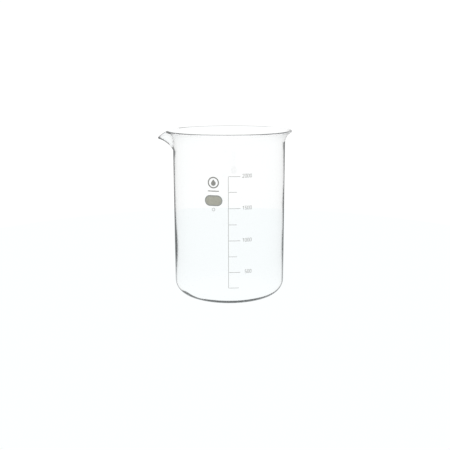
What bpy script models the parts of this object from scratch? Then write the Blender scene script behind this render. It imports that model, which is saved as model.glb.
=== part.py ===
"""A 2000 ml low-form laboratory beaker in borosilicate glass, with its fired-on enamel print.

Metres, +Z up. The origin is the centre of the flat base. The printed side faces -Y, and the spout
points to the left of it, a little behind -X.
"""

from math import acos, asin, atan2, cos, hypot, pi, radians, sin

import bmesh
import bpy

# Vessel
HEIGHT = 0.2005
BODY_RADIUS = 0.0675
WALL = 0.0024
FLOOR = 0.003
HEEL_RADIUS = 0.016

# Flared rim: the wall's middle follows an arc, and ends in a fire-polished bead
FLARE_RADIUS = 0.0165
FLARE_ANGLE = radians(58)
BEAD_RADIUS = 0.0013

# Spout: the flare pulled out and down round one direction
SPOUT_AZIMUTH = radians(170)
SPOUT_ROOT_BELOW_RIM = 0.029
SPOUT_ROOT_BEND_RADIUS = 0.004
SPOUT_ROOT_ANGLE = radians(26)
SPOUT_LIP_ANGLE = radians(74)
SPOUT_LENGTH = 0.0287
SPOUT_HALF_ANGLE_AT_ROOT = radians(11)
SPOUT_HALF_ANGLE_AT_LIP = radians(21)

# Enamel print: thin skins that stand just clear of the wall
CLEARANCE = 0.0003
ENAMEL_THICKNESS = 0.0003
OUTLINE_DEPTH = 0.0012
LINE_WIDTH = 0.00045
SCALE_ANGLE = -0.0009 / BODY_RADIUS
GRADUATION_STEP = 250
NOMINAL_CAPACITY = 2000
TOP_LINE_PRINTED_LOW = 0.0010
LONG_LINE = 0.0137
SHORT_LINE = 0.0097
LOWEST_LINE = 0.0120
DIGIT_HEIGHT = 0.0044
DIGIT_WIDTH = 0.0024
DIGIT_STROKE = 0.0005
DIGIT_PITCH = 0.00295
NUMERAL_RIGHT_END = 0.0275
NUMERAL_RAISED = 0.0007
BADGE_COLUMN = -0.0180
PATCH_SIZE = (0.0208, 0.0124)
PATCH_HEIGHT = 0.1258
RING_MARK_RADIUS = 0.0066
RING_MARK_WIDTH = 0.0014
RING_MARK_HEIGHT = 0.1464
DROP_RADIUS = 0.0028
DROP_TIP_ANGLE = radians(38)
BADGE_RULE = (0.0130, 0.0011)
BADGE_RULE_HEIGHT = 0.1367
SMALL_RING_RADIUS = 0.0019
SMALL_RING_HEIGHT = 0.1155

# Digits: how their strokes lie in the figure, as shares of its half width, and in degrees
ONE_FLAG = (-0.8, 0.9)
ONE_STEM = 0.33
TWO_BOWL = (165, -35)
FIVE_TOP = (0.85, -0.7)
FIVE_BOWL = (125, -150)

# Mesh fineness
TURNED_STEPS = 108
HEEL_STEPS = 8
FLARE_STEPS = 7
BEAD_STEPS = 8
WALL_RINGS_ABOVE_ROOT = (0.0, 0.2, 0.45, 0.7)
SLEEVE_STEPS = 216
BOWL_STEPS = 8
HALF_ROUND_STEPS = 6
PATCH_END_STEPS = 10
RING_MARK_STEPS = 32
DROP_STEPS = 16
SMALL_RING_STEPS = 16
MERGE = 0.00001

MIDDLE_RADIUS = BODY_RADIUS - WALL / 2
INNER_RADIUS = BODY_RADIUS - WALL
FLARE_START = HEIGHT - BEAD_RADIUS - FLARE_RADIUS * sin(FLARE_ANGLE)
SPOUT_ROOT = HEIGHT - SPOUT_ROOT_BELOW_RIM
LIP_DISTANCE = FLARE_START - SPOUT_ROOT + FLARE_RADIUS * FLARE_ANGLE


def clear_scene():
    for leftover in list(bpy.data.objects):
        bpy.data.objects.remove(leftover)


def new_collection(name):
    collection = bpy.data.collections.new(name)
    bpy.context.scene.collection.children.link(collection)
    return collection


def material(name, colour, roughness, transmission=0.0):
    made = bpy.data.materials.new(name)
    made.use_nodes = True
    shader = made.node_tree.nodes["Principled BSDF"]
    shader.inputs["Base Color"].default_value = (*colour, 1.0)
    shader.inputs["Roughness"].default_value = roughness
    shader.inputs["Metallic"].default_value = 0.0
    shader.inputs["Transmission Weight"].default_value = transmission
    shader.inputs["IOR"].default_value = 1.47
    return made


def as_mesh(source, name, collection):
    """Replaces an object by a mesh object of its evaluated shape, in the same place."""
    graph = bpy.context.evaluated_depsgraph_get()
    mesh = bpy.data.meshes.new_from_object(source.evaluated_get(graph))
    made = bpy.data.objects.new(name, mesh)
    made.matrix_world = source.matrix_world.copy()
    bpy.data.objects.remove(source)
    collection.objects.link(made)
    return made


def turned(name, profile, steps, collection):
    """A solid of revolution about Z. The profile is a list of (radius, height)."""
    mesh = bpy.data.meshes.new(name)
    edges = [(i, i + 1) for i in range(len(profile) - 1)]
    mesh.from_pydata([(radius, 0.0, height) for radius, height in profile], edges, [])
    made = bpy.data.objects.new(name, mesh)
    collection.objects.link(made)
    screw = made.modifiers.new("Turn", "SCREW")
    screw.steps = steps
    screw.render_steps = steps
    screw.use_merge_vertices = True
    screw.merge_threshold = MERGE
    screw.use_smooth_shade = True
    return made


def arc(centre, radius, start, end, steps):
    """Points on an arc in the (radius, height) plane, with angles counted from +radius."""
    angles = [start + (end - start) * i / steps for i in range(steps + 1)]
    return [(centre[0] + radius * cos(a), centre[1] + radius * sin(a)) for a in angles]


def vessel_profile():
    """From the middle of the floor, up the inside, over the rim and down the outside."""
    inner_heel = HEEL_RADIUS - WALL
    inner_heel_centre = (INNER_RADIUS - inner_heel, FLOOR + inner_heel)
    flare_centre = (MIDDLE_RADIUS + FLARE_RADIUS, FLARE_START)
    bead_centre = arc(flare_centre, FLARE_RADIUS, pi - FLARE_ANGLE, pi, 1)[0]
    rim_direction = pi / 2 - FLARE_ANGLE
    bead_reach = pi - asin(WALL / 2 / BEAD_RADIUS)
    flare_end = pi - FLARE_ANGLE
    outer_heel_centre = (BODY_RADIUS - HEEL_RADIUS, HEEL_RADIUS)
    straight = FLARE_START - SPOUT_ROOT
    ring_heights = [SPOUT_ROOT + straight * share for share in WALL_RINGS_ABOVE_ROOT]
    bead_start = rim_direction + bead_reach
    bead_end = rim_direction - bead_reach
    points = [(0.0, FLOOR)]
    points += arc(inner_heel_centre, inner_heel, -pi / 2, 0.0, HEEL_STEPS - 1)
    points += [(INNER_RADIUS, height) for height in ring_heights]
    points += arc(flare_centre, FLARE_RADIUS + WALL / 2, pi, flare_end, FLARE_STEPS)[:-1]
    points += arc(bead_centre, BEAD_RADIUS, bead_start, bead_end, BEAD_STEPS)
    points += arc(flare_centre, FLARE_RADIUS - WALL / 2, flare_end, pi, FLARE_STEPS)[1:]
    points += [(BODY_RADIUS, height) for height in reversed(ring_heights)]
    points += arc(outer_heel_centre, HEEL_RADIUS, 0.0, -pi / 2, HEEL_STEPS)
    points += [(0.0, 0.0)]
    return points


def flare_coordinates(radius, height):
    """Distance along the wall above the spout's root, and offset outwards from the wall's middle."""
    if height <= FLARE_START:
        return height - SPOUT_ROOT, radius - MIDDLE_RADIUS
    inwards = MIDDLE_RADIUS + FLARE_RADIUS - radius
    upwards = height - FLARE_START
    along = FLARE_START - SPOUT_ROOT + FLARE_RADIUS * atan2(upwards, inwards)
    return along, FLARE_RADIUS - hypot(inwards, upwards)


def spout_point(along, offset):
    """The same point of the wall once the spout is pulled, in the plane of the spout."""
    along *= SPOUT_LENGTH / LIP_DISTANCE
    bend_length = SPOUT_ROOT_BEND_RADIUS * SPOUT_ROOT_ANGLE
    lip_bend_radius = (SPOUT_LENGTH - bend_length) / (SPOUT_LIP_ANGLE - SPOUT_ROOT_ANGLE)
    if along < bend_length:
        angle = along / SPOUT_ROOT_BEND_RADIUS
        out = SPOUT_ROOT_BEND_RADIUS * (1 - cos(angle))
        up = SPOUT_ROOT_BEND_RADIUS * sin(angle)
    else:
        angle = SPOUT_ROOT_ANGLE + (along - bend_length) / lip_bend_radius
        out = SPOUT_ROOT_BEND_RADIUS * (1 - cos(SPOUT_ROOT_ANGLE))
        out += lip_bend_radius * (cos(SPOUT_ROOT_ANGLE) - cos(angle))
        up = SPOUT_ROOT_BEND_RADIUS * sin(SPOUT_ROOT_ANGLE)
        up += lip_bend_radius * (sin(angle) - sin(SPOUT_ROOT_ANGLE))
    radius = MIDDLE_RADIUS + out + offset * cos(angle)
    height = SPOUT_ROOT + up - offset * sin(angle)
    return radius, height


def pull_spout(vessel):
    for vertex in vessel.data.vertices:
        x, y, height = vertex.co
        radius = hypot(x, y)
        if height <= SPOUT_ROOT or radius < INNER_RADIUS - WALL:
            continue
        azimuth = atan2(y, x)
        from_spout = acos(max(-1.0, min(1.0, cos(azimuth - SPOUT_AZIMUTH))))
        along, offset = flare_coordinates(radius, height)
        rise = min(along / LIP_DISTANCE, 1.0)
        half_angle = SPOUT_HALF_ANGLE_AT_ROOT
        half_angle += (SPOUT_HALF_ANGLE_AT_LIP - SPOUT_HALF_ANGLE_AT_ROOT) * rise
        if from_spout >= half_angle:
            continue
        pull = (1 + cos(pi * from_spout / half_angle)) / 2
        spout_radius, spout_height = spout_point(along, offset)
        new_radius = radius + (spout_radius - radius) * pull
        new_height = height + (spout_height - height) * pull
        vertex.co = (new_radius * cos(azimuth), new_radius * sin(azimuth), new_height)


def make_vessel(parts, glass):
    blank = turned("blank", vessel_profile(), TURNED_STEPS, parts)
    vessel = as_mesh(blank, "glass_vessel", parts)
    pull_spout(vessel)
    vessel.data.materials.append(glass)


def fill_height(millilitres):
    """The height of the surface of that much liquid, with the rounded heel's share taken off."""
    heel = HEEL_RADIUS - WALL
    corner_centroid = (10 - 3 * pi) / (12 - 3 * pi) * heel
    heel_share = (1 - pi / 4) * heel**2 * 2 * pi * (INNER_RADIUS - corner_centroid)
    return FLOOR + (millilitres * 1e-6 + heel_share) / (pi * INNER_RADIUS**2)


def line_height(millilitres):
    height = fill_height(millilitres)
    return height - TOP_LINE_PRINTED_LOW if millilitres == NOMINAL_CAPACITY else height


def make_sleeve(cutters):
    """The thin tube round the wall that every printed piece is cut from."""
    inner = BODY_RADIUS + CLEARANCE
    outer = inner + ENAMEL_THICKNESS
    profile = [(inner, 0.0), (inner, HEIGHT), (outer, HEIGHT), (outer, 0.0), (inner, 0.0)]
    sleeve = turned("print_sleeve", profile, SLEEVE_STEPS, cutters)
    sleeve = as_mesh(sleeve, "print_sleeve", cutters)
    sleeve.hide_render = True
    sleeve.display_type = "WIRE"
    return sleeve


def print_on_wall(outline, name, angle, height, sleeve, parts, enamel):
    """Stands a flat outline on the wall at that angle from -Y, and keeps what the sleeve holds."""
    outline.data.extrude = OUTLINE_DEPTH
    radius = BODY_RADIUS + CLEARANCE
    outline.location = (radius * sin(angle), -radius * cos(angle), height)
    outline.rotation_euler = (pi / 2, 0.0, angle)
    bpy.context.view_layer.update()
    piece = as_mesh(outline, name, parts)
    weld(piece.data)
    cut = piece.modifiers.new("Follow the wall", "BOOLEAN")
    cut.operation = "INTERSECT"
    cut.object = sleeve
    piece.data.materials.clear()
    piece.data.materials.append(enamel)
    return piece


def weld(mesh):
    solid = bmesh.new()
    solid.from_mesh(mesh)
    bmesh.ops.remove_doubles(solid, verts=solid.verts, dist=MERGE)
    solid.to_mesh(mesh)
    solid.free()


def outline_curve(name, loops, collection):
    """A filled flat outline in XY from closed loops of points."""
    curve = bpy.data.curves.new(name, "CURVE")
    curve.dimensions = "2D"
    curve.fill_mode = "BOTH"
    for points in loops:
        spline = curve.splines.new("POLY")
        spline.points.add(len(points) - 1)
        for slot, (x, y) in zip(spline.points, points):
            slot.co = (x, y, 0.0, 1.0)
        spline.use_cyclic_u = True
    made = bpy.data.objects.new(name, curve)
    collection.objects.link(made)
    return made


def rectangle(width, height):
    x = width / 2
    y = height / 2
    return [(-x, -y), (x, -y), (x, y), (-x, y)]


def circle(radius, steps):
    return arc((0.0, 0.0), radius, 0.0, 2 * pi * (steps - 1) / steps, steps - 1)


def stadium(length, breadth, steps):
    """An oval along X with half-round ends."""
    radius = breadth / 2
    reach = length / 2 - radius
    right = arc((reach, 0.0), radius, -pi / 2, pi / 2, steps)
    left = arc((-reach, 0.0), radius, pi / 2, 3 * pi / 2, steps)
    return right + left


def upright(points):
    return [(-y, x) for x, y in points]


def drop(radius, tip_angle, steps):
    """A round drop whose sides run straight up to a tip, with the middle of its height at 0."""
    tip = radius / sin(tip_angle)
    middle = (radius - tip) / 2
    round_part = arc((0.0, middle), radius, pi - tip_angle, 2 * pi + tip_angle, steps)
    return round_part + [(0.0, middle + tip)]


def stroke_loops(path, width, closed):
    """The outline of a pen stroke along a path: one loop, or two where the path closes on itself."""
    sides = ([], [])
    count = len(path)
    for i, (x, y) in enumerate(path):
        before = path[(i - 1) % count] if closed or i > 0 else None
        after = path[(i + 1) % count] if closed or i < count - 1 else None
        arriving = unit(before, (x, y)) if before else unit((x, y), after)
        leaving = unit((x, y), after) if after else arriving
        across = unit((0.0, 0.0), (-arriving[1] - leaving[1], arriving[0] + leaving[0]))
        mitre = width / 2 / (across[1] * leaving[0] - across[0] * leaving[1])
        sides[0].append((x + mitre * across[0], y + mitre * across[1]))
        sides[1].append((x - mitre * across[0], y - mitre * across[1]))
    return list(sides) if closed else [sides[0] + sides[1][::-1]]


def unit(start, end):
    length = hypot(end[0] - start[0], end[1] - start[1])
    return (end[0] - start[0]) / length, (end[1] - start[1]) / length


def digit_loops(digit):
    """Single-stroke figures, drawn by arcs and straight lines round the middle of the figure."""
    half_width = (DIGIT_WIDTH - DIGIT_STROKE) / 2
    half_height = (DIGIT_HEIGHT - DIGIT_STROKE) / 2
    bowl_middle = half_height - half_width
    if digit == "0":
        path = upright(stadium(2 * half_height, 2 * half_width, HALF_ROUND_STEPS))
        return stroke_loops(path, DIGIT_STROKE, True)
    if digit == "1":
        stem = half_width * ONE_STEM
        flag = (half_width * ONE_FLAG[0], half_height - half_width * ONE_FLAG[1])
        return stroke_loops([flag, (stem, half_height), (stem, -half_height)], DIGIT_STROKE, False)
    if digit == "2":
        path = arc((0.0, bowl_middle), half_width, *map(radians, TWO_BOWL), BOWL_STEPS)
        path += [(-half_width, -half_height), (half_width, -half_height)]
        return stroke_loops(path, DIGIT_STROKE, False)
    if digit == "5":
        path = [(half_width * end, half_height) for end in FIVE_TOP]
        path += arc((0.0, -bowl_middle), half_width, *map(radians, FIVE_BOWL), BOWL_STEPS + 1)
        return stroke_loops(path, DIGIT_STROKE, False)
    raise ValueError(digit)


def make_scale(parts, cutters, sleeve, enamel):
    volumes = range(GRADUATION_STEP, NOMINAL_CAPACITY + 1, GRADUATION_STEP)
    heights = {volume: line_height(volume) for volume in volumes}
    top = heights[NOMINAL_CAPACITY] + LINE_WIDTH / 2
    bottom = heights[GRADUATION_STEP] - LINE_WIDTH / 2
    spine = outline_curve("outline", [rectangle(LINE_WIDTH, top - bottom)], cutters)
    print_on_wall(spine, "scale_spine", SCALE_ANGLE, (top + bottom) / 2, sleeve, parts, enamel)
    for volume, height in heights.items():
        length = LONG_LINE if volume % (2 * GRADUATION_STEP) == 0 else SHORT_LINE
        if volume == GRADUATION_STEP:
            length = LOWEST_LINE
        start = LINE_WIDTH / 2 + CLEARANCE
        middle = (start + length) / 2
        line = outline_curve("outline", [rectangle(length - start, LINE_WIDTH)], cutters)
        name = f"scale_line_{volume:04d}_ml"
        angle = SCALE_ANGLE + middle / BODY_RADIUS
        print_on_wall(line, name, angle, height, sleeve, parts, enamel)


def make_numerals(parts, cutters, sleeve, enamel):
    for volume in range(2 * GRADUATION_STEP, NOMINAL_CAPACITY + 1, 2 * GRADUATION_STEP):
        digits = str(volume)
        for place, digit in enumerate(digits):
            from_right = len(digits) - 1 - place
            middle = NUMERAL_RIGHT_END - (from_right + 0.5) * DIGIT_PITCH
            outline = outline_curve("outline", digit_loops(digit), cutters)
            name = f"numeral_{volume:04d}_digit_{place + 1}"
            angle = SCALE_ANGLE + middle / BODY_RADIUS
            height = line_height(volume) + NUMERAL_RAISED
            print_on_wall(outline, name, angle, height, sleeve, parts, enamel)


def make_badge(parts, cutters, sleeve, enamel, patch_enamel):
    angle = BADGE_COLUMN / BODY_RADIUS
    patch = outline_curve("outline", [stadium(*PATCH_SIZE, PATCH_END_STEPS)], cutters)
    print_on_wall(patch, "marking_patch", angle, PATCH_HEIGHT, sleeve, parts, patch_enamel)
    radii = (RING_MARK_RADIUS, RING_MARK_RADIUS - RING_MARK_WIDTH)
    loops = [circle(radius, RING_MARK_STEPS) for radius in radii]
    ring = outline_curve("outline", loops, cutters)
    print_on_wall(ring, "badge_ring", angle, RING_MARK_HEIGHT, sleeve, parts, enamel)
    droplet = outline_curve("outline", [drop(DROP_RADIUS, DROP_TIP_ANGLE, DROP_STEPS)], cutters)
    print_on_wall(droplet, "badge_drop", angle, RING_MARK_HEIGHT, sleeve, parts, enamel)
    rule = outline_curve("outline", [rectangle(*BADGE_RULE)], cutters)
    print_on_wall(rule, "badge_rule", angle, BADGE_RULE_HEIGHT, sleeve, parts, enamel)
    radii = (SMALL_RING_RADIUS, SMALL_RING_RADIUS - LINE_WIDTH)
    loops = [circle(radius, SMALL_RING_STEPS) for radius in radii]
    small = outline_curve("outline", loops, cutters)
    print_on_wall(small, "small_ring_mark", angle, SMALL_RING_HEIGHT, sleeve, parts, enamel)


def main():
    clear_scene()
    parts = new_collection("beaker")
    cutters = new_collection("cutters")
    glass = material("borosilicate_glass", (0.96, 0.99, 0.99), 0.02, transmission=1.0)
    enamel = material("print_enamel", (0.62, 0.63, 0.62), 0.45)
    patch_enamel = material("patch_enamel", (0.39, 0.39, 0.33), 0.5)
    make_vessel(parts, glass)
    sleeve = make_sleeve(cutters)
    make_scale(parts, cutters, sleeve, enamel)
    make_numerals(parts, cutters, sleeve, enamel)
    make_badge(parts, cutters, sleeve, enamel, patch_enamel)


main()
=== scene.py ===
"""Looks for the 2000 ml low-form laboratory beaker: clear glass and fired-on enamel print.

Metres, +Z up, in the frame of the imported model: the origin is the centre of the flat base, the
printed side faces -Y and the spout points to the left of it, a little behind -X.
"""

from math import acos, asin, atan2, cos, exp, hypot, pi, radians, sin

import bmesh
import bpy
from mathutils import Matrix, Vector, noise


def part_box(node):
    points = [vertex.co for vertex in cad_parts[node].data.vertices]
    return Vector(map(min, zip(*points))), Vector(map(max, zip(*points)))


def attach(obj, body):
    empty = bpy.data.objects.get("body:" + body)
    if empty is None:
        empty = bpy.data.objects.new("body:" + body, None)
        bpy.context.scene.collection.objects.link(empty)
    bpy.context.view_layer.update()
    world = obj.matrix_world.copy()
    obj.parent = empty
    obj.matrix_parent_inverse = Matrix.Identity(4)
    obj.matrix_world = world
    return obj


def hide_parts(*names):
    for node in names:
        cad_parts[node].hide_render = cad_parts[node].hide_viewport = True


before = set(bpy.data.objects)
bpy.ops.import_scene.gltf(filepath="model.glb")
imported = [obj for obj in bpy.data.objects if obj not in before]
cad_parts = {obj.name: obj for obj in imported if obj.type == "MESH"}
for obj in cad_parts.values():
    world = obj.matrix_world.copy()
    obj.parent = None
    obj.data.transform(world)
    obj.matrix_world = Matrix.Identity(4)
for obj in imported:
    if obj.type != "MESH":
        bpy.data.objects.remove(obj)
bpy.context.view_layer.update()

# Vessel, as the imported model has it
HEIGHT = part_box("glass_vessel")[1].z
BODY_RADIUS = 0.0675
WALL = 0.0024
FLOOR = 0.003
HEEL_RADIUS = 0.016
FLARE_RADIUS = 0.0165
FLARE_ANGLE = radians(58)
BEAD_RADIUS = 0.0013
SPOUT_AZIMUTH = radians(170)
SPOUT_ROOT_BELOW_RIM = 0.029
SPOUT_ROOT_BEND_RADIUS = 0.004
SPOUT_ROOT_ANGLE = radians(26)
SPOUT_LIP_ANGLE = radians(74)
SPOUT_LENGTH = 0.0287
SPOUT_HALF_ANGLE_AT_ROOT = radians(11)
SPOUT_HALF_ANGLE_AT_LIP = radians(21)

MIDDLE_RADIUS = BODY_RADIUS - WALL / 2
INNER_RADIUS = BODY_RADIUS - WALL
FLARE_START = HEIGHT - BEAD_RADIUS - FLARE_RADIUS * sin(FLARE_ANGLE)
SPOUT_ROOT = HEIGHT - SPOUT_ROOT_BELOW_RIM
LIP_DISTANCE = FLARE_START - SPOUT_ROOT + FLARE_RADIUS * FLARE_ANGLE

# Clear glass looks dark once it turns edge-on, as it refracts and mirrors darker surroundings;
# here that dark is painted shade in the glass's colour. These are facing values, 0 face-on and 1
# edge-on, at which the painted shade starts, and how much further on it is fully dark. The wall's
# painted line runs on a little into the flare, whose outer skin otherwise gets no painted shade
EDGE_SHADE_FADE = 0.10
NEVER_SHADED = 2.0
WALL_SHADE_START = 0.715
WALL_SHADE_ABOVE_FLARE_START = 0.003
FLARE_SHADE_START = 1.2

# The heel gets painted shade sooner than the wall, standing in for the dark it refracts, mostly in
# front and behind
HEEL_SHADE_START_LEAST = 0.375
HEEL_SHADE_FROM = radians(26.5)
HEEL_SHADE_TO = radians(60)
HEEL_SHADE_DEPTH = 0.36
HEEL_SHADE_DEPTH_IN_FRONT = 0.85
HEEL_FRONT_POWER = 4

# Painted shade on the spout, along its keel and round the bead of its lip, most of all at the tip
SPOUT_KEEL_SHADE_START = 0.45
SPOUT_KEEL_ANGLE = radians(12)
SPOUT_TIP_SHADE_START = 0.10
SPOUT_TIP_ANGLE = radians(6)
SPOUT_LIP_SHADE_START = 0.70

# Streaks where the painted shade starts sooner (below 0) or later: azimuth in degrees, height,
# their two spreads, and the change of the facing value
SHADE_STREAKS = (
    (185, 0.189, 14, 0.005, 0.45),
    (185, 0.177, 25, 0.004, -0.07),
    (185, 0.165, 25, 0.004, 0.01),
    (185, 0.140, 25, 0.015, 0.035),
    (185, 0.114, 25, 0.008, 0.01),
    (185, 0.064, 25, 0.016, -0.10),
    (185, 0.020, 25, 0.011, 0.05),
    (-5, 0.184, 25, 0.004, -0.04),
    (-5, 0.145, 25, 0.012, 0.05),
    (-5, 0.116, 25, 0.009, -0.02),
    (-5, 0.091, 25, 0.009, 0.02),
    (-5, 0.065, 25, 0.009, -0.025),
    (-5, 0.025, 25, 0.020, 0.02),
    (-34, 0.006, 9, 0.005, -0.06),
    (-60, 0.006, 8, 0.005, -0.04),
    (-122, 0.005, 5, 0.004, 0.12),
    (-140, 0.006, 6, 0.005, -0.28),
)

# The facing value at which painted shade starts round the upper half of the fire-polished bead:
# azimuths in degrees, and values between which it changes evenly
BEAD_SHADE_STARTS = (
    (-180, 0.50),
    (-163, 0.50),
    (-157, 0.35),
    (-147, 0.35),
    (-144, 0.45),
    (-136, 0.28),
    (-118, 0.17),
    (-90, 0.12),
    (-60, 0.13),
    (-45, 0.30),
    (-33, 0.42),
    (-20, 0.70),
    (-8, 0.90),
    (0, 1.00),
    (25, 1.10),
    (50, 0.42),
    (90, 0.27),
    (130, 0.42),
    (180, 0.45),
)

# The same round the lower half of the bead, which has no painted shade but for a stretch by the
# spout
BEAD_SHADE_STARTS_BELOW = (
    (-180, 0.50),
    (-160, 0.50),
    (-150, 0.65),
    (-144, 1.00),
    (180, 1.00),
)

# The blown inner skin waves a little, so that the wall's thickness varies. The waves are
# stretched upwards by this factor
WAVE_DEPTH = 0.00006
WAVE_LENGTH = 0.035
WAVE_STRETCH = 2

# Print: a thin skin whose inner face lies just off the glass
PRINT_CLEARANCE = 0.00002
PRINT_THICKNESS = 0.00008
PRINT_EDGE = 0.00003
PRINT_EDGE_STEPS = 2
LINE_CORNER = 0.00012
CORNER_STEPS = 5
STRIP = 0.0008
DIGIT_HEIGHT = 0.0044
DIGIT_WIDTH = 0.0024
DIGIT_STROKE = 0.00046
RING_MARK_WIDTH = 0.0014
SMALL_RING_WIDTH = 0.00045
DROP_TIP_ANGLE = radians(38)

# Shapes of the figures, as shares of half their width or as angles of their arcs
ONE_STEM_RIGHT = 0.33
ONE_FLAG_LEFT = 0.8
ONE_FLAG_DROP = 0.9
TWO_BOWL = (radians(165), radians(-35))
FIVE_TOP_RIGHT = 0.85
FIVE_TOP_LEFT = 0.7
FIVE_BOWL = (radians(125), radians(-150))

# Clear borosilicate glass, and the painted shade colour that it takes on where it looks dark
GLASS_COLOUR = (0.992, 0.998, 0.998, 1.0)
GLASS_PAINTED_SHADE_COLOUR = (0.008, 0.010, 0.010, 1.0)
GLASS_IOR = 1.473

# Fired enamel. The marking patch is thicker, and so darker, round its edge
PRINT_COLOUR = (0.27, 0.27, 0.25)
PRINT_ROUGHNESS = 0.45
PATCH_COLOUR = (0.385, 0.385, 0.325)
PATCH_ROUGHNESS = 0.55
PATCH_BORDER = 0.0016
PATCH_BORDER_COLOUR = (0.27, 0.28, 0.27)

# Its clouding and its fine grain, per metre, and how far they change its tone and roughness
CLOUD_SCALE = 350.0
GRAIN_SCALE = 5200.0
GRAIN_DETAIL = 4.0
TONE_SPREAD = 0.10
SMOOTHEST = 0.06
ROUGHEST = 0.08
GRAIN_BUMP = 0.25
GRAIN_DEPTH = 0.00002

# Mesh fineness
TURNED_STEPS = 288
ARC_STEPS = 20
WALL_STEPS = 28
ROOT_STEPS = 12
BASE_STEPS = 8
ROUND_STEPS = 72
SHARP_ANGLE = radians(50)
MERGE = 0.000001

# Camera: the angle of a standing product shot, from a little above
CAMERA_DISTANCE = 0.8165
CAMERA_HEIGHT = 0.26175
CAMERA_PITCH = 0.2152
CAMERA_YAW = -0.0064
CAMERA_ROLL = -0.004
SENSOR_WIDTH = 36.0
LENS = 53.877

# Light runs a long way round inside the glass before it comes out of the rim
LIGHT_BOUNCES = 512

# Brightness of the white surroundings, as seen and as mirrored by a shiny surface. The mirrored
# one rises from the horizon up to a direction whose Z is MIRRORED_CEILING_FROM, and falls from the
# middle of the table out to the dim radius
SURROUNDINGS = 1.045
MIRRORED_SURROUNDINGS = 0.35
MIRRORED_TABLE_MIDDLE = 0.8
MIRRORED_CEILING = 1.0
MIRRORED_CEILING_FROM = 0.3
TABLE_MIDDLE_RADIUS = 0.10
TABLE_DIM_RADIUS = 0.22

# The round light table just under the beaker, and the softbox above it
TABLE_RADIUS = 0.55
TABLE_SEGMENTS = 96
TABLE_GAP = 0.0002
TABLE_COLOUR = (0.945, 0.970, 0.978, 1.0)
SOFTBOX_SIZE = 1.2
SOFTBOX_POWER = 0.5
SOFTBOX_HEIGHT = 1.5


# ---------------------------------------------------------------- shapes


def link(name, data):
    made = bpy.data.objects.new(name, data)
    bpy.context.scene.collection.objects.link(made)
    return made


def as_mesh(source, name):
    """Replaces an object by a mesh object of its evaluated shape."""
    bpy.context.view_layer.update()
    graph = bpy.context.evaluated_depsgraph_get()
    mesh = bpy.data.meshes.new_from_object(source.evaluated_get(graph))
    mesh.name = name
    bpy.data.objects.remove(source)
    return link(name, mesh)


def arc(centre, radius, start, end, steps):
    """Points on an arc, with angles counted from the first axis."""
    angles = [start + (end - start) * i / steps for i in range(steps + 1)]
    return [(centre[0] + radius * cos(a), centre[1] + radius * sin(a)) for a in angles]


def between(start, end, steps):
    """Points strictly between two points, evenly spaced."""
    shares = [i / steps for i in range(1, steps)]
    return [tuple(a + (b - a) * share for a, b in zip(start, end)) for share in shares]


# ---------------------------------------------------------------- vessel


def vessel_profile():
    """From the middle of the floor, up the inside, over the rim and down the outside."""
    inner_heel = HEEL_RADIUS - WALL
    inner_heel_centre = (INNER_RADIUS - inner_heel, FLOOR + inner_heel)
    outer_heel_centre = (BODY_RADIUS - HEEL_RADIUS, HEEL_RADIUS)
    flare_centre = (MIDDLE_RADIUS + FLARE_RADIUS, FLARE_START)
    flare_end = pi - FLARE_ANGLE
    bead_centre = arc(flare_centre, FLARE_RADIUS, flare_end, pi, 1)[0]
    rim_direction = pi / 2 - FLARE_ANGLE
    bead_reach = pi - asin(WALL / 2 / BEAD_RADIUS)
    bead_start = rim_direction + bead_reach
    bead_end = rim_direction - bead_reach
    inner_heel_arc = arc(inner_heel_centre, inner_heel, -pi / 2, 0.0, ARC_STEPS)
    inner_flare = arc(flare_centre, FLARE_RADIUS + WALL / 2, pi, flare_end, ARC_STEPS)
    bead = arc(bead_centre, BEAD_RADIUS, bead_start, bead_end, ARC_STEPS)
    outer_flare = arc(flare_centre, FLARE_RADIUS - WALL / 2, flare_end, pi, ARC_STEPS)
    outer_heel_arc = arc(outer_heel_centre, HEEL_RADIUS, 0.0, -pi / 2, ARC_STEPS)
    inner_root = (INNER_RADIUS, SPOUT_ROOT)
    outer_root = (BODY_RADIUS, SPOUT_ROOT)
    points = [(0.0, FLOOR)] + between((0.0, FLOOR), inner_heel_arc[0], BASE_STEPS)
    points += inner_heel_arc + between(inner_heel_arc[-1], inner_root, WALL_STEPS) + [inner_root]
    points += between(inner_root, inner_flare[0], ROOT_STEPS) + inner_flare[:-1]
    points += bead
    points += outer_flare[1:] + between(outer_flare[-1], outer_root, ROOT_STEPS) + [outer_root]
    points += between(outer_root, outer_heel_arc[0], WALL_STEPS) + outer_heel_arc
    points += between(outer_heel_arc[-1], (0.0, 0.0), BASE_STEPS) + [(0.0, 0.0)]
    return points


def flare_coordinates(radius, height):
    """Distance along the wall above the spout's root, and offset outwards from its middle."""
    if height <= FLARE_START:
        return height - SPOUT_ROOT, radius - MIDDLE_RADIUS
    inwards = MIDDLE_RADIUS + FLARE_RADIUS - radius
    upwards = height - FLARE_START
    along = FLARE_START - SPOUT_ROOT + FLARE_RADIUS * atan2(upwards, inwards)
    return along, FLARE_RADIUS - hypot(inwards, upwards)


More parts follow.
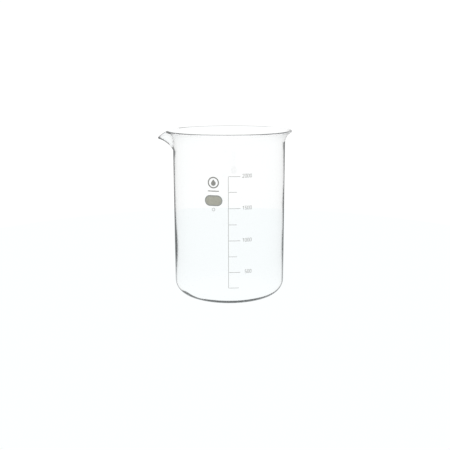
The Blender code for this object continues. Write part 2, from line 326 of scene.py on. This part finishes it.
def spout_point(along, offset):
    """The same point of the wall once the spout is pulled, in the plane of the spout."""
    along *= SPOUT_LENGTH / LIP_DISTANCE
    bend_length = SPOUT_ROOT_BEND_RADIUS * SPOUT_ROOT_ANGLE
    lip_bend_radius = (SPOUT_LENGTH - bend_length) / (SPOUT_LIP_ANGLE - SPOUT_ROOT_ANGLE)
    if along < bend_length:
        angle = along / SPOUT_ROOT_BEND_RADIUS
        out = SPOUT_ROOT_BEND_RADIUS * (1 - cos(angle))
        up = SPOUT_ROOT_BEND_RADIUS * sin(angle)
    else:
        angle = SPOUT_ROOT_ANGLE + (along - bend_length) / lip_bend_radius
        out = SPOUT_ROOT_BEND_RADIUS * (1 - cos(SPOUT_ROOT_ANGLE))
        out += lip_bend_radius * (cos(SPOUT_ROOT_ANGLE) - cos(angle))
        up = SPOUT_ROOT_BEND_RADIUS * sin(SPOUT_ROOT_ANGLE)
        up += lip_bend_radius * (sin(angle) - sin(SPOUT_ROOT_ANGLE))
    radius = MIDDLE_RADIUS + out + offset * cos(angle)
    height = SPOUT_ROOT + up - offset * sin(angle)
    return radius, height


def angle_from_spout(azimuth):
    return acos(max(-1.0, min(1.0, cos(azimuth - SPOUT_AZIMUTH))))


def pull_spout(mesh):
    """Draws the rim out and down into the spout."""
    for vertex in mesh.vertices:
        x, y, height = vertex.co
        radius = hypot(x, y)
        if height <= SPOUT_ROOT or radius < INNER_RADIUS - WALL:
            continue
        azimuth = atan2(y, x)
        from_spout = angle_from_spout(azimuth)
        along, offset = flare_coordinates(radius, height)
        rise = min(along / LIP_DISTANCE, 1.0)
        half_angle = SPOUT_HALF_ANGLE_AT_ROOT
        half_angle += (SPOUT_HALF_ANGLE_AT_LIP - SPOUT_HALF_ANGLE_AT_ROOT) * rise
        if from_spout >= half_angle:
            continue
        pull = (1 + cos(pi * from_spout / half_angle)) / 2
        spout_radius, spout_height = spout_point(along, offset)
        new_radius = radius + (spout_radius - radius) * pull
        new_height = height + (spout_height - height) * pull
        vertex.co = (new_radius * cos(azimuth), new_radius * sin(azimuth), new_height)


def skin_offset(radius, height):
    """How far a point of the vessel lies outwards from the middle of its wall."""
    if height > FLARE_START:
        return flare_coordinates(radius, height)[1]
    if height < HEEL_RADIUS:
        beyond = max(radius - BODY_RADIUS + HEEL_RADIUS, 0.0)
        return hypot(beyond, HEEL_RADIUS - height) - HEEL_RADIUS + WALL / 2
    return radius - MIDDLE_RADIUS


def painted_shade_start(azimuth, height):
    """The facing value at which painted shade starts on the outside of the wall."""
    # Painted shade starts sooner round the heel, most of all in front and behind
    turned = asin(1 - min(height, HEEL_RADIUS) / HEEL_RADIUS)
    shaded_share = (turned - HEEL_SHADE_FROM) / (HEEL_SHADE_TO - HEEL_SHADE_FROM)
    shading_depth = HEEL_SHADE_DEPTH + HEEL_SHADE_DEPTH_IN_FRONT * sin(azimuth) ** HEEL_FRONT_POWER
    start = WALL_SHADE_START - shading_depth * min(max(shaded_share, 0.0), 1.0)
    # Streaks of painted shade move where it starts
    for middle, middle_height, spread, height_spread, change in SHADE_STREAKS:
        turn = (azimuth - radians(middle) + pi) % (2 * pi) - pi
        away = (turn / radians(spread)) ** 2 + ((height - middle_height) / height_spread) ** 2
        start += change * exp(-away / 2)
    return max(start, HEEL_SHADE_START_LEAST)


def bead_shade_start(azimuth, from_spout, height):
    """The same for the fire-polished bead."""
    # Painted shade round the spout's lip, darkest at the tip
    if from_spout < SPOUT_HALF_ANGLE_AT_LIP:
        tip = exp(-((from_spout / SPOUT_TIP_ANGLE) ** 2))
        return SPOUT_LIP_SHADE_START + (SPOUT_TIP_SHADE_START - SPOUT_LIP_SHADE_START) * tip
    # Painted shade round the rest of the bead, from the tables above
    edges = BEAD_SHADE_STARTS if height >= HEIGHT - BEAD_RADIUS else BEAD_SHADE_STARTS_BELOW
    for (start, start_edge), (end, end_edge) in zip(edges, edges[1:]):
        if azimuth <= radians(end):
            break
    share = (azimuth - radians(start)) / radians(end - start)
    return start_edge + (end_edge - start_edge) * share


def paint_edge_shade(mesh):
    """Stores where painted shade darkens the glass as it turns edge-on: its facing value, above 1
    for never.

    Only the outer skin and the fire-polished bead get painted shade. The outer skin of the flare
    doesn't, but for its start and the keel under the spout.
    """
    store = mesh.attributes.new("painted_shade_start", "FLOAT", "POINT")
    for vertex, slot in zip(mesh.vertices, store.data):
        x, y, height = vertex.co
        radius = hypot(x, y)
        azimuth = atan2(y, x)
        along = flare_coordinates(radius, height)[0]
        from_spout = angle_from_spout(azimuth)
        keel = exp(-((from_spout / SPOUT_KEEL_ANGLE) ** 2))
        if along > LIP_DISTANCE - BEAD_RADIUS / 2:
            slot.value = bead_shade_start(azimuth, from_spout, height)
        elif skin_offset(radius, height) < 0:
            slot.value = NEVER_SHADED
        elif height > FLARE_START + WALL_SHADE_ABOVE_FLARE_START * (1 - keel):
            slot.value = FLARE_SHADE_START + (SPOUT_KEEL_SHADE_START - FLARE_SHADE_START) * keel
        else:
            slot.value = painted_shade_start(azimuth, height)


def wave_inside(mesh):
    """Waves the inner skin of the wall in and out."""
    for vertex in mesh.vertices:
        x, y, height = vertex.co
        radius = hypot(x, y)
        if radius < INNER_RADIUS - WALL or radius > MIDDLE_RADIUS or height > FLARE_START:
            continue
        place = Vector((x, y, height / WAVE_STRETCH)) / WAVE_LENGTH
        wave = noise.noise(place) * WAVE_DEPTH
        vertex.co = (x * (1 + wave / radius), y * (1 + wave / radius), height)


def make_vessel(glass):
    profile = vessel_profile()
    mesh = bpy.data.meshes.new("vessel")
    edges = [(i, i + 1) for i in range(len(profile) - 1)]
    mesh.from_pydata([(radius, 0.0, height) for radius, height in profile], edges, [])
    blank = link("blank", mesh)
    screw = blank.modifiers.new("Turn", "SCREW")
    screw.steps = TURNED_STEPS
    screw.render_steps = TURNED_STEPS
    screw.use_merge_vertices = True
    screw.merge_threshold = MERGE
    vessel = as_mesh(blank, "beaker_glass")
    paint_edge_shade(vessel.data)
    wave_inside(vessel.data)
    pull_spout(vessel.data)
    vessel.data.shade_smooth()
    dress(vessel, glass, "glass_vessel")


def dress(piece, material, node):
    """Gives a piece its material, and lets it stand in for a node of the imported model."""
    piece.data.materials.clear()
    piece.data.materials.append(material)
    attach(piece, "root")
    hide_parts(node)


# ---------------------------------------------------------------- print


def printed_span(node):
    """The node's middle and size on the unrolled wall: along it from -Y, and in height."""
    points = [vertex.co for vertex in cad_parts[node].data.vertices]
    along = [BODY_RADIUS * atan2(point.x, -point.y) for point in points]
    heights = [point.z for point in points]
    middle = ((min(along) + max(along)) / 2, (min(heights) + max(heights)) / 2)
    return middle, (max(along) - min(along), max(heights) - min(heights))


def rounded(width, height, corner, steps):
    """A rectangle with round corners about the origin."""
    x = width / 2 - corner
    y = height / 2 - corner
    loop = []
    for quarter, centre in enumerate(((x, y), (-x, y), (-x, -y), (x, -y))):
        loop += arc(centre, corner, quarter * pi / 2, (quarter + 1) * pi / 2, steps)
    return loop


def circle(radius):
    """A circle about the origin, without its closing point."""
    return arc((0.0, 0.0), radius, 0.0, 2 * pi * (1 - 1 / ROUND_STEPS), ROUND_STEPS - 1)


def drop(height):
    """A round drop whose sides run straight up to a tip."""
    radius = height / (1 + 1 / sin(DROP_TIP_ANGLE))
    round_part = arc((0.0, 0.0), radius, pi - DROP_TIP_ANGLE, 2 * pi + DROP_TIP_ANGLE, ROUND_STEPS)
    return round_part + [(0.0, radius / sin(DROP_TIP_ANGLE))]


def unit(start, end):
    """The direction from one point to another."""
    length = hypot(end[0] - start[0], end[1] - start[1])
    return (end[0] - start[0]) / length, (end[1] - start[1]) / length


def stroke_loops(path, width, closed):
    """The outline of a pen stroke along a path: one loop, or two where the path is closed."""
    sides = ([], [])
    count = len(path)
    for i, (x, y) in enumerate(path):
        before = path[(i - 1) % count] if closed or i > 0 else None
        after = path[(i + 1) % count] if closed or i < count - 1 else None
        arriving = unit(before, (x, y)) if before else unit((x, y), after)
        leaving = unit((x, y), after) if after else arriving
        across = unit((0.0, 0.0), (-arriving[1] - leaving[1], arriving[0] + leaving[0]))
        mitre = width / 2 / (across[1] * leaving[0] - across[0] * leaving[1])
        sides[0].append((x + mitre * across[0], y + mitre * across[1]))
        sides[1].append((x - mitre * across[0], y - mitre * across[1]))
    return list(sides) if closed else [sides[0] + sides[1][::-1]]


def digit_loops(digit):
    """Single-stroke figures, drawn by arcs and straight lines round the middle of the figure."""
    half_width = (DIGIT_WIDTH - DIGIT_STROKE) / 2
    half_height = (DIGIT_HEIGHT - DIGIT_STROKE) / 2
    bowl_middle = half_height - half_width
    if digit == "0":
        path = arc((0.0, bowl_middle), half_width, 0.0, pi, ARC_STEPS)
        path += arc((0.0, -bowl_middle), half_width, pi, 2 * pi, ARC_STEPS)
    elif digit == "1":
        stem = half_width * ONE_STEM_RIGHT
        flag = (-half_width * ONE_FLAG_LEFT, half_height - half_width * ONE_FLAG_DROP)
        path = [flag, (stem, half_height), (stem, -half_height)]
    elif digit == "2":
        path = arc((0.0, bowl_middle), half_width, *TWO_BOWL, ARC_STEPS)
        path += [(-half_width, -half_height), (half_width, -half_height)]
    else:
        top_right = (half_width * FIVE_TOP_RIGHT, half_height)
        top_left = (-half_width * FIVE_TOP_LEFT, half_height)
        path = [top_right, top_left]
        path += arc((0.0, -bowl_middle), half_width, *FIVE_BOWL, ARC_STEPS)
    return stroke_loops(path, DIGIT_STROKE, digit == "0")


def outline_solid(name, loops):
    """A flat skin in XY from closed loops of points, with its edges rounded over."""
    curve = bpy.data.curves.new(name, "CURVE")
    curve.dimensions = "2D"
    curve.fill_mode = "BOTH"
    curve.extrude = PRINT_THICKNESS / 2 - PRINT_EDGE
    curve.bevel_depth = PRINT_EDGE
    curve.bevel_resolution = PRINT_EDGE_STEPS
    curve.offset = -PRINT_EDGE
    for points in loops:
        spline = curve.splines.new("POLY")
        spline.points.add(len(points) - 1)
        for slot, (x, y) in zip(spline.points, points):
            slot.co = (x, y, 0.0, 1.0)
        spline.use_cyclic_u = True
    return as_mesh(link(name, curve), name)


def wrap(mesh, middle):
    """Cuts a flat skin into upright strips, and bends them round the wall."""
    skin = bmesh.new()
    skin.from_mesh(mesh)
    bmesh.ops.remove_doubles(skin, verts=skin.verts, dist=MERGE)
    reach = max(vertex.co.x for vertex in skin.verts)
    count = int(2 * reach / STRIP)
    for i in range(1, count):
        everything = skin.verts[:] + skin.edges[:] + skin.faces[:]
        cut = Vector((reach * (2 * i / count - 1), 0.0, 0.0))
        bmesh.ops.bisect_plane(skin, geom=everything, plane_co=cut, plane_no=(1.0, 0.0, 0.0))
    for vertex in skin.verts:
        angle = (vertex.co.x + middle[0]) / BODY_RADIUS
        radius = BODY_RADIUS + PRINT_CLEARANCE + PRINT_THICKNESS / 2 + vertex.co.z
        vertex.co = (radius * sin(angle), -radius * cos(angle), vertex.co.y + middle[1])
    skin.to_mesh(mesh)
    skin.free()


def make_print(node, loops, material):
    middle, size = printed_span(node)
    xs = [x for points in loops for x, y in points]
    ys = [y for points in loops for x, y in points]
    own_middle = ((min(xs) + max(xs)) / 2, (min(ys) + max(ys)) / 2)
    centred = [[(x - own_middle[0], y - own_middle[1]) for x, y in points] for points in loops]
    piece = outline_solid("print_" + node, centred)
    wrap(piece.data, middle)
    piece.data.shade_smooth()
    piece.data.set_sharp_from_angle(angle=SHARP_ANGLE)
    dress(piece, material, node)


def print_loops(node):
    """The outline of a printed node, about its own middle."""
    width, height = printed_span(node)[1]
    if node.startswith("numeral"):
        volume = node.split("_")[1].lstrip("0")
        return digit_loops(volume[int(node[-1]) - 1])
    if node == "badge_ring":
        return [circle(width / 2), circle(width / 2 - RING_MARK_WIDTH)]
    if node == "small_ring_mark":
        return [circle(width / 2), circle(width / 2 - SMALL_RING_WIDTH)]
    if node == "badge_drop":
        return [drop(height)]
    if node == "marking_patch":
        return [rounded(width, height, height / 2, ARC_STEPS)]
    return [rounded(width, height, LINE_CORNER, CORNER_STEPS)]


def make_prints(enamel, patch_enamel):
    for node in sorted(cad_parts):
        if node == "glass_vessel":
            continue
        patch = node == "marking_patch"
        material = patch_enamel if patch else enamel
        make_print(node, print_loops(node), material)


# ---------------------------------------------------------------- materials


class Nodes:
    """A node tree that is filled by add(), whose keywords set or link a new node's inputs."""

    def __init__(self, owner):
        owner.use_nodes = True
        self.tree = owner.node_tree
        self.tree.nodes.clear()

    def add(self, kind, settings=None, **inputs):
        node = self.tree.nodes.new("ShaderNode" + kind)
        for name, value in (settings or {}).items():
            setattr(node, name, value)
        for name, value in inputs.items():
            key = int(name[1:]) if name[0] == "_" else name.replace("_", " ")
            if isinstance(value, bpy.types.NodeSocket):
                self.tree.links.new(value, node.inputs[key])
            else:
                node.inputs[key].default_value = value
        return node

    def math(self, operation, a, b=0.0, clamp=False):
        settings = {"operation": operation, "use_clamp": clamp}
        return self.add("Math", settings, _0=a, _1=b).outputs[0]

    def mix(self, factor, a, b, blend="MIX"):
        settings = {"data_type": "RGBA", "blend_type": blend}
        return self.add("Mix", settings, _0=factor, _6=a, _7=b).outputs[2]

    def noise(self, place, scale, detail=2.0):
        return self.add("TexNoise", Vector=place, Scale=scale, Detail=detail).outputs[0]

    def span(self, value, low, high, to_low=0.0, to_high=1.0):
        inputs = {"From_Min": low, "From_Max": high, "To_Min": to_low, "To_Max": to_high}
        return self.add("MapRange", Value=value, **inputs).outputs[0]


def glass_material():
    made = bpy.data.materials.new("clear_borosilicate")
    nodes = Nodes(made)
    # Base colour: the glass tint, fading into painted shade where the glass turns edge-on past the
    # stored facing value
    facing = nodes.add("LayerWeight", Blend=0.5).outputs["Facing"]
    start = nodes.add("Attribute", {"attribute_name": "painted_shade_start"}).outputs["Fac"]
    full = nodes.math("ADD", start, EDGE_SHADE_FADE)
    tint_and_painted_shade = nodes.mix(nodes.span(facing, start, full), GLASS_COLOUR, GLASS_PAINTED_SHADE_COLOUR)
    shader = nodes.add("BsdfPrincipled", Base_Color=tint_and_painted_shade, Roughness=0.0, IOR=GLASS_IOR)
    shader.inputs["Transmission Weight"].default_value = 1.0
    nodes.add("OutputMaterial", Surface=shader.outputs[0])
    return made


def near_outline(nodes, place, node):
    """1 near the edge of a printed node with round ends, and 0 further in."""
    middle, (width, height) = printed_span(node)
    parts = nodes.add("SeparateXYZ", Vector=place).outputs
    turn = nodes.math("ARCTAN2", parts["X"], nodes.math("MULTIPLY", parts["Y"], -1.0))
    along = nodes.math("SUBTRACT", nodes.math("MULTIPLY", turn, BODY_RADIUS), middle[0])
    up = nodes.math("SUBTRACT", parts["Z"], middle[1])
    beyond = nodes.math("SUBTRACT", nodes.math("ABSOLUTE", along), (width - height) / 2)
    sideways = nodes.math("MAXIMUM", beyond, 0.0)
    squares = nodes.math("ADD", nodes.math("POWER", sideways, 2.0), nodes.math("POWER", up, 2.0))
    away = nodes.math("SQRT", squares)
    return nodes.span(away, height / 2 - PATCH_BORDER, height / 2 - PATCH_BORDER / 2)


def enamel_material(name, colour, roughness, border=None):
    """Fired enamel. A border is a node's name, and the colour that it has near its edge."""
    made = bpy.data.materials.new(name)
    nodes = Nodes(made)
    place = nodes.add("TexCoord").outputs["Object"]
    cloud = nodes.noise(place, CLOUD_SCALE)
    grain = nodes.noise(place, GRAIN_SCALE, GRAIN_DETAIL)
    both = nodes.math("ADD", cloud, grain)
    tone = nodes.span(both, 0.7, 1.3, 1 - TONE_SPREAD, 1 + TONE_SPREAD)
    shade = nodes.add("CombineColor", Red=tone, Green=tone, Blue=tone).outputs[0]
    plain = (*colour, 1.0)
    if border:
        plain = nodes.mix(near_outline(nodes, place, border[0]), plain, (*border[1], 1.0))
    base = nodes.mix(1.0, plain, shade, "MULTIPLY")
    rough = nodes.span(grain, 0.3, 0.7, roughness - SMOOTHEST, roughness + ROUGHEST)
    bump = nodes.add("Bump", Strength=GRAIN_BUMP, Distance=GRAIN_DEPTH, Height=grain).outputs[0]
    shader = nodes.add("BsdfPrincipled", Base_Color=base, Roughness=rough, Normal=bump)
    nodes.add("OutputMaterial", Surface=shader.outputs[0])
    return made


# ---------------------------------------------------------------- stage


def make_camera():
    lens = bpy.data.cameras.new("camera")
    lens.sensor_width = SENSOR_WIDTH
    lens.lens = LENS
    camera = link("camera", lens)
    turn = Matrix.Rotation(-CAMERA_YAW, 4, "Z")
    tilt = Matrix.Rotation(pi / 2 - CAMERA_PITCH, 4, "X")
    roll = Matrix.Rotation(CAMERA_ROLL, 4, "Z")
    place = Matrix.Translation((0.0, -CAMERA_DISTANCE, CAMERA_HEIGHT))
    camera.matrix_world = place @ turn @ tilt @ roll
    bpy.context.scene.camera = camera


def mirrored_light(nodes, plain, mirrored):
    """Light that is as plain says, but as mirrored says where a shiny surface mirrors it."""
    path = nodes.add("LightPath").outputs
    mirror = nodes.math("MULTIPLY", path["Is Reflection Ray"], path["Is Glossy Ray"])
    return nodes.span(mirror, 0.0, 1.0, plain, mirrored)


def make_world():
    world = bpy.data.worlds.new("studio")
    bpy.context.scene.world = world
    nodes = Nodes(world)
    direction = nodes.add("TexCoord").outputs["Generated"]
    height = nodes.add("SeparateXYZ", Vector=direction).outputs["Z"]
    brightness = (MIRRORED_SURROUNDINGS, MIRRORED_CEILING)
    mirrored = nodes.span(height, 0.0, MIRRORED_CEILING_FROM, *brightness)
    strength = mirrored_light(nodes, SURROUNDINGS, mirrored)
    light = nodes.add("Background", Color=(1.0, 1.0, 1.0, 1.0), Strength=strength)
    nodes.add("OutputWorld", Surface=light.outputs[0])


def make_floor():
    mesh = bpy.data.meshes.new("floor")
    plate = bmesh.new()
    bmesh.ops.create_circle(plate, cap_ends=True, segments=TABLE_SEGMENTS, radius=TABLE_RADIUS)
    plate.to_mesh(mesh)
    plate.free()
    floor = link("floor", mesh)
    floor.location.z = -TABLE_GAP
    made = bpy.data.materials.new("light_table")
    nodes = Nodes(made)
    place = nodes.add("TexCoord").outputs["Object"]
    away = nodes.add("VectorMath", {"operation": "LENGTH"}, _0=place).outputs["Value"]
    brightness = (MIRRORED_TABLE_MIDDLE, MIRRORED_SURROUNDINGS)
    mirrored = nodes.span(away, TABLE_MIDDLE_RADIUS, TABLE_DIM_RADIUS, *brightness)
    strength = mirrored_light(nodes, SURROUNDINGS, mirrored)
    shader = nodes.add("Emission", Color=TABLE_COLOUR, Strength=strength)
    nodes.add("OutputMaterial", Surface=shader.outputs[0])
    mesh.materials.append(made)


def make_light():
    lamp = bpy.data.lights.new("softbox", "AREA")
    lamp.shape = "DISK"
    lamp.size = SOFTBOX_SIZE
    lamp.energy = SOFTBOX_POWER
    softbox = link("softbox", lamp)
    softbox.location = (0.0, 0.0, SOFTBOX_HEIGHT)


bpy.context.scene.view_settings.view_transform = "Standard"
bpy.context.scene.cycles.max_bounces = LIGHT_BOUNCES
bpy.context.scene.cycles.glossy_bounces = LIGHT_BOUNCES
bpy.context.scene.cycles.transmission_bounces = LIGHT_BOUNCES
make_camera()
make_world()
make_floor()
make_light()
make_vessel(glass_material())
patch_border = ("marking_patch", PATCH_BORDER_COLOUR)
make_prints(
    enamel_material("print_enamel", PRINT_COLOUR, PRINT_ROUGHNESS),
    enamel_material("patch_enamel", PATCH_COLOUR, PATCH_ROUGHNESS, patch_border),
)
